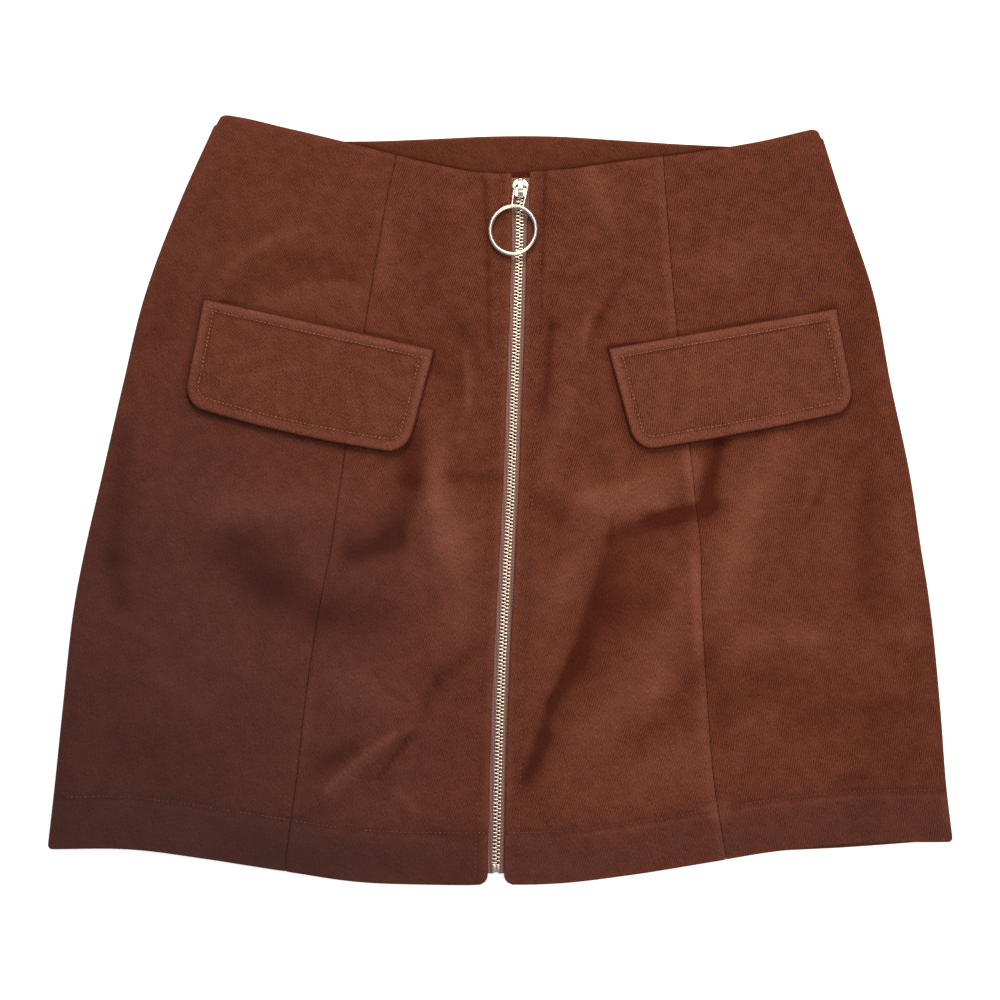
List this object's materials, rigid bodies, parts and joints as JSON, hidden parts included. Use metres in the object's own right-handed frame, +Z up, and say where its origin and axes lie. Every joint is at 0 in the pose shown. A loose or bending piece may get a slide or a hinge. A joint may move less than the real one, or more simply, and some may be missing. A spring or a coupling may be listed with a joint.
{
  "type": "brushed-twill zip-front mini skirt",
  "caption": "A-line mini skirt of brushed brown twill, laid flat with its front up: full-length metal zip with a ring pull, princess seams, slanted pocket flaps and a faced waist",
  "frame": {"origin": "on the surface the skirt lies on, under the middle of its outline", "axes": "+X is to the right as the front is seen, +Y runs from the hem to the waist, and +Z is up out of the front"},
  "size_m": [0.4971, 0.4351, 0.0106],
  "materials": {
    "brushed_twill": "fine cotton twill with a brushed, napped face",
    "facing_twill": "the same twill, seen inside the back waist",
    "zip_tape": "woven polyester zip tape",
    "nickel": "bright warm nickel plate on zinc and brass"
  },
  "bodies": {
    "skirt": {"back_panel": "brushed_twill", "back_facing": "facing_twill", "front_side_left": "brushed_twill", "front_side_right": "brushed_twill", "front_centre_left": "brushed_twill", "front_centre_right": "brushed_twill", "flap_left": "brushed_twill", "flap_right": "brushed_twill", "zip_tape_left": "zip_tape", "zip_tape_right": "zip_tape", "zip_chain_left": "nickel", "zip_chain_right": "nickel", "zip_bottom_stop": "nickel", "zip_slider": "nickel"},
    "pull": {"pull_ring": "nickel"}
  },
  "joints": [
    {"name": "pull_hinge", "type": "hinge", "parent": "skirt", "child": "pull", "pos_m": [0.0122, 0.1748, 0.00845], "axis": [-0.9833, 0.1822, 0], "range_deg": [0, 175]}
  ]
}
